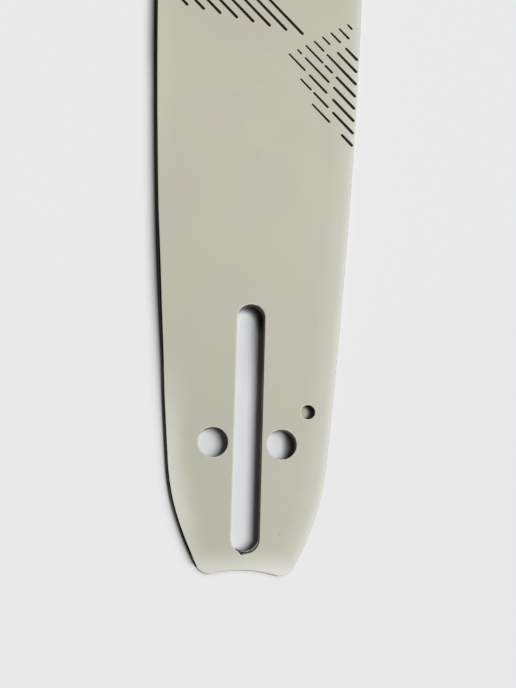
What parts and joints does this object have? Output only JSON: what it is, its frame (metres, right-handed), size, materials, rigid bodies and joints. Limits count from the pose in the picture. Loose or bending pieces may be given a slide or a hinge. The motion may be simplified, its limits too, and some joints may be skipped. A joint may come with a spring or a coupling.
{
  "type": "chainsaw guide bar",
  "caption": "Laminated chainsaw guide bar: painted steel, stud slot, tensioner and oil holes at a hollow tail, open chain groove round the edge and a sprocket turning in the round nose",
  "frame": {"origin": "middle of the stud slot, on the underside of the bar", "axes": "+Y along the bar from the tail to the nose, +Z through the thickness away from the underside, +X across the bar to the edge that the front plate's oil hole is near"},
  "size_m": [0.0668, 0.4575, 0.0043],
  "materials": {
    "side_plate_paint": "satin",
    "core_steel": "satin",
    "sprocket_steel": "satin",
    "bearing_steel": "gloss",
    "rivet_steel": "satin"
  },
  "bodies": {
    "bar": {"front_side_plate": "side_plate_paint", "back_side_plate": "side_plate_paint", "core_plate": "core_steel", "bearing_race": "bearing_steel", "nose_rivets": "rivet_steel"},
    "sprocket": {"nose_sprocket": "sprocket_steel"},
    "roller_set": {"bearing_roller_01": "bearing_steel", "bearing_roller_02": "bearing_steel", "bearing_roller_03": "bearing_steel", "bearing_roller_04": "bearing_steel", "bearing_roller_05": "bearing_steel", "bearing_roller_06": "bearing_steel", "bearing_roller_07": "bearing_steel", "bearing_roller_08": "bearing_steel", "bearing_roller_09": "bearing_steel", "bearing_roller_10": "bearing_steel", "bearing_roller_11": "bearing_steel", "bearing_roller_12": "bearing_steel", "bearing_roller_13": "bearing_steel", "bearing_roller_14": "bearing_steel", "bearing_roller_15": "bearing_steel", "bearing_roller_16": "bearing_steel", "bearing_roller_17": "bearing_steel", "bearing_roller_18": "bearing_steel", "bearing_roller_19": "bearing_steel", "bearing_roller_20": "bearing_steel", "bearing_roller_21": "bearing_steel", "bearing_roller_22": "bearing_steel"}
  },
  "joints": [
    {"name": "sprocket_spin", "type": "hinge", "parent": "bar", "child": "sprocket", "pos_m": [0, 0.387, 0.00215], "axis": [0, 0, 1], "continuous": true},
    {"name": "roller_orbit", "type": "hinge", "parent": "bar", "child": "roller_set", "pos_m": [0, 0.387, 0.00215], "axis": [0, 0, 1], "continuous": true}
  ],
  "couplings": [
    {"joint": "roller_orbit", "follows": "sprocket_spin", "ratio": 0.5713}
  ]
}
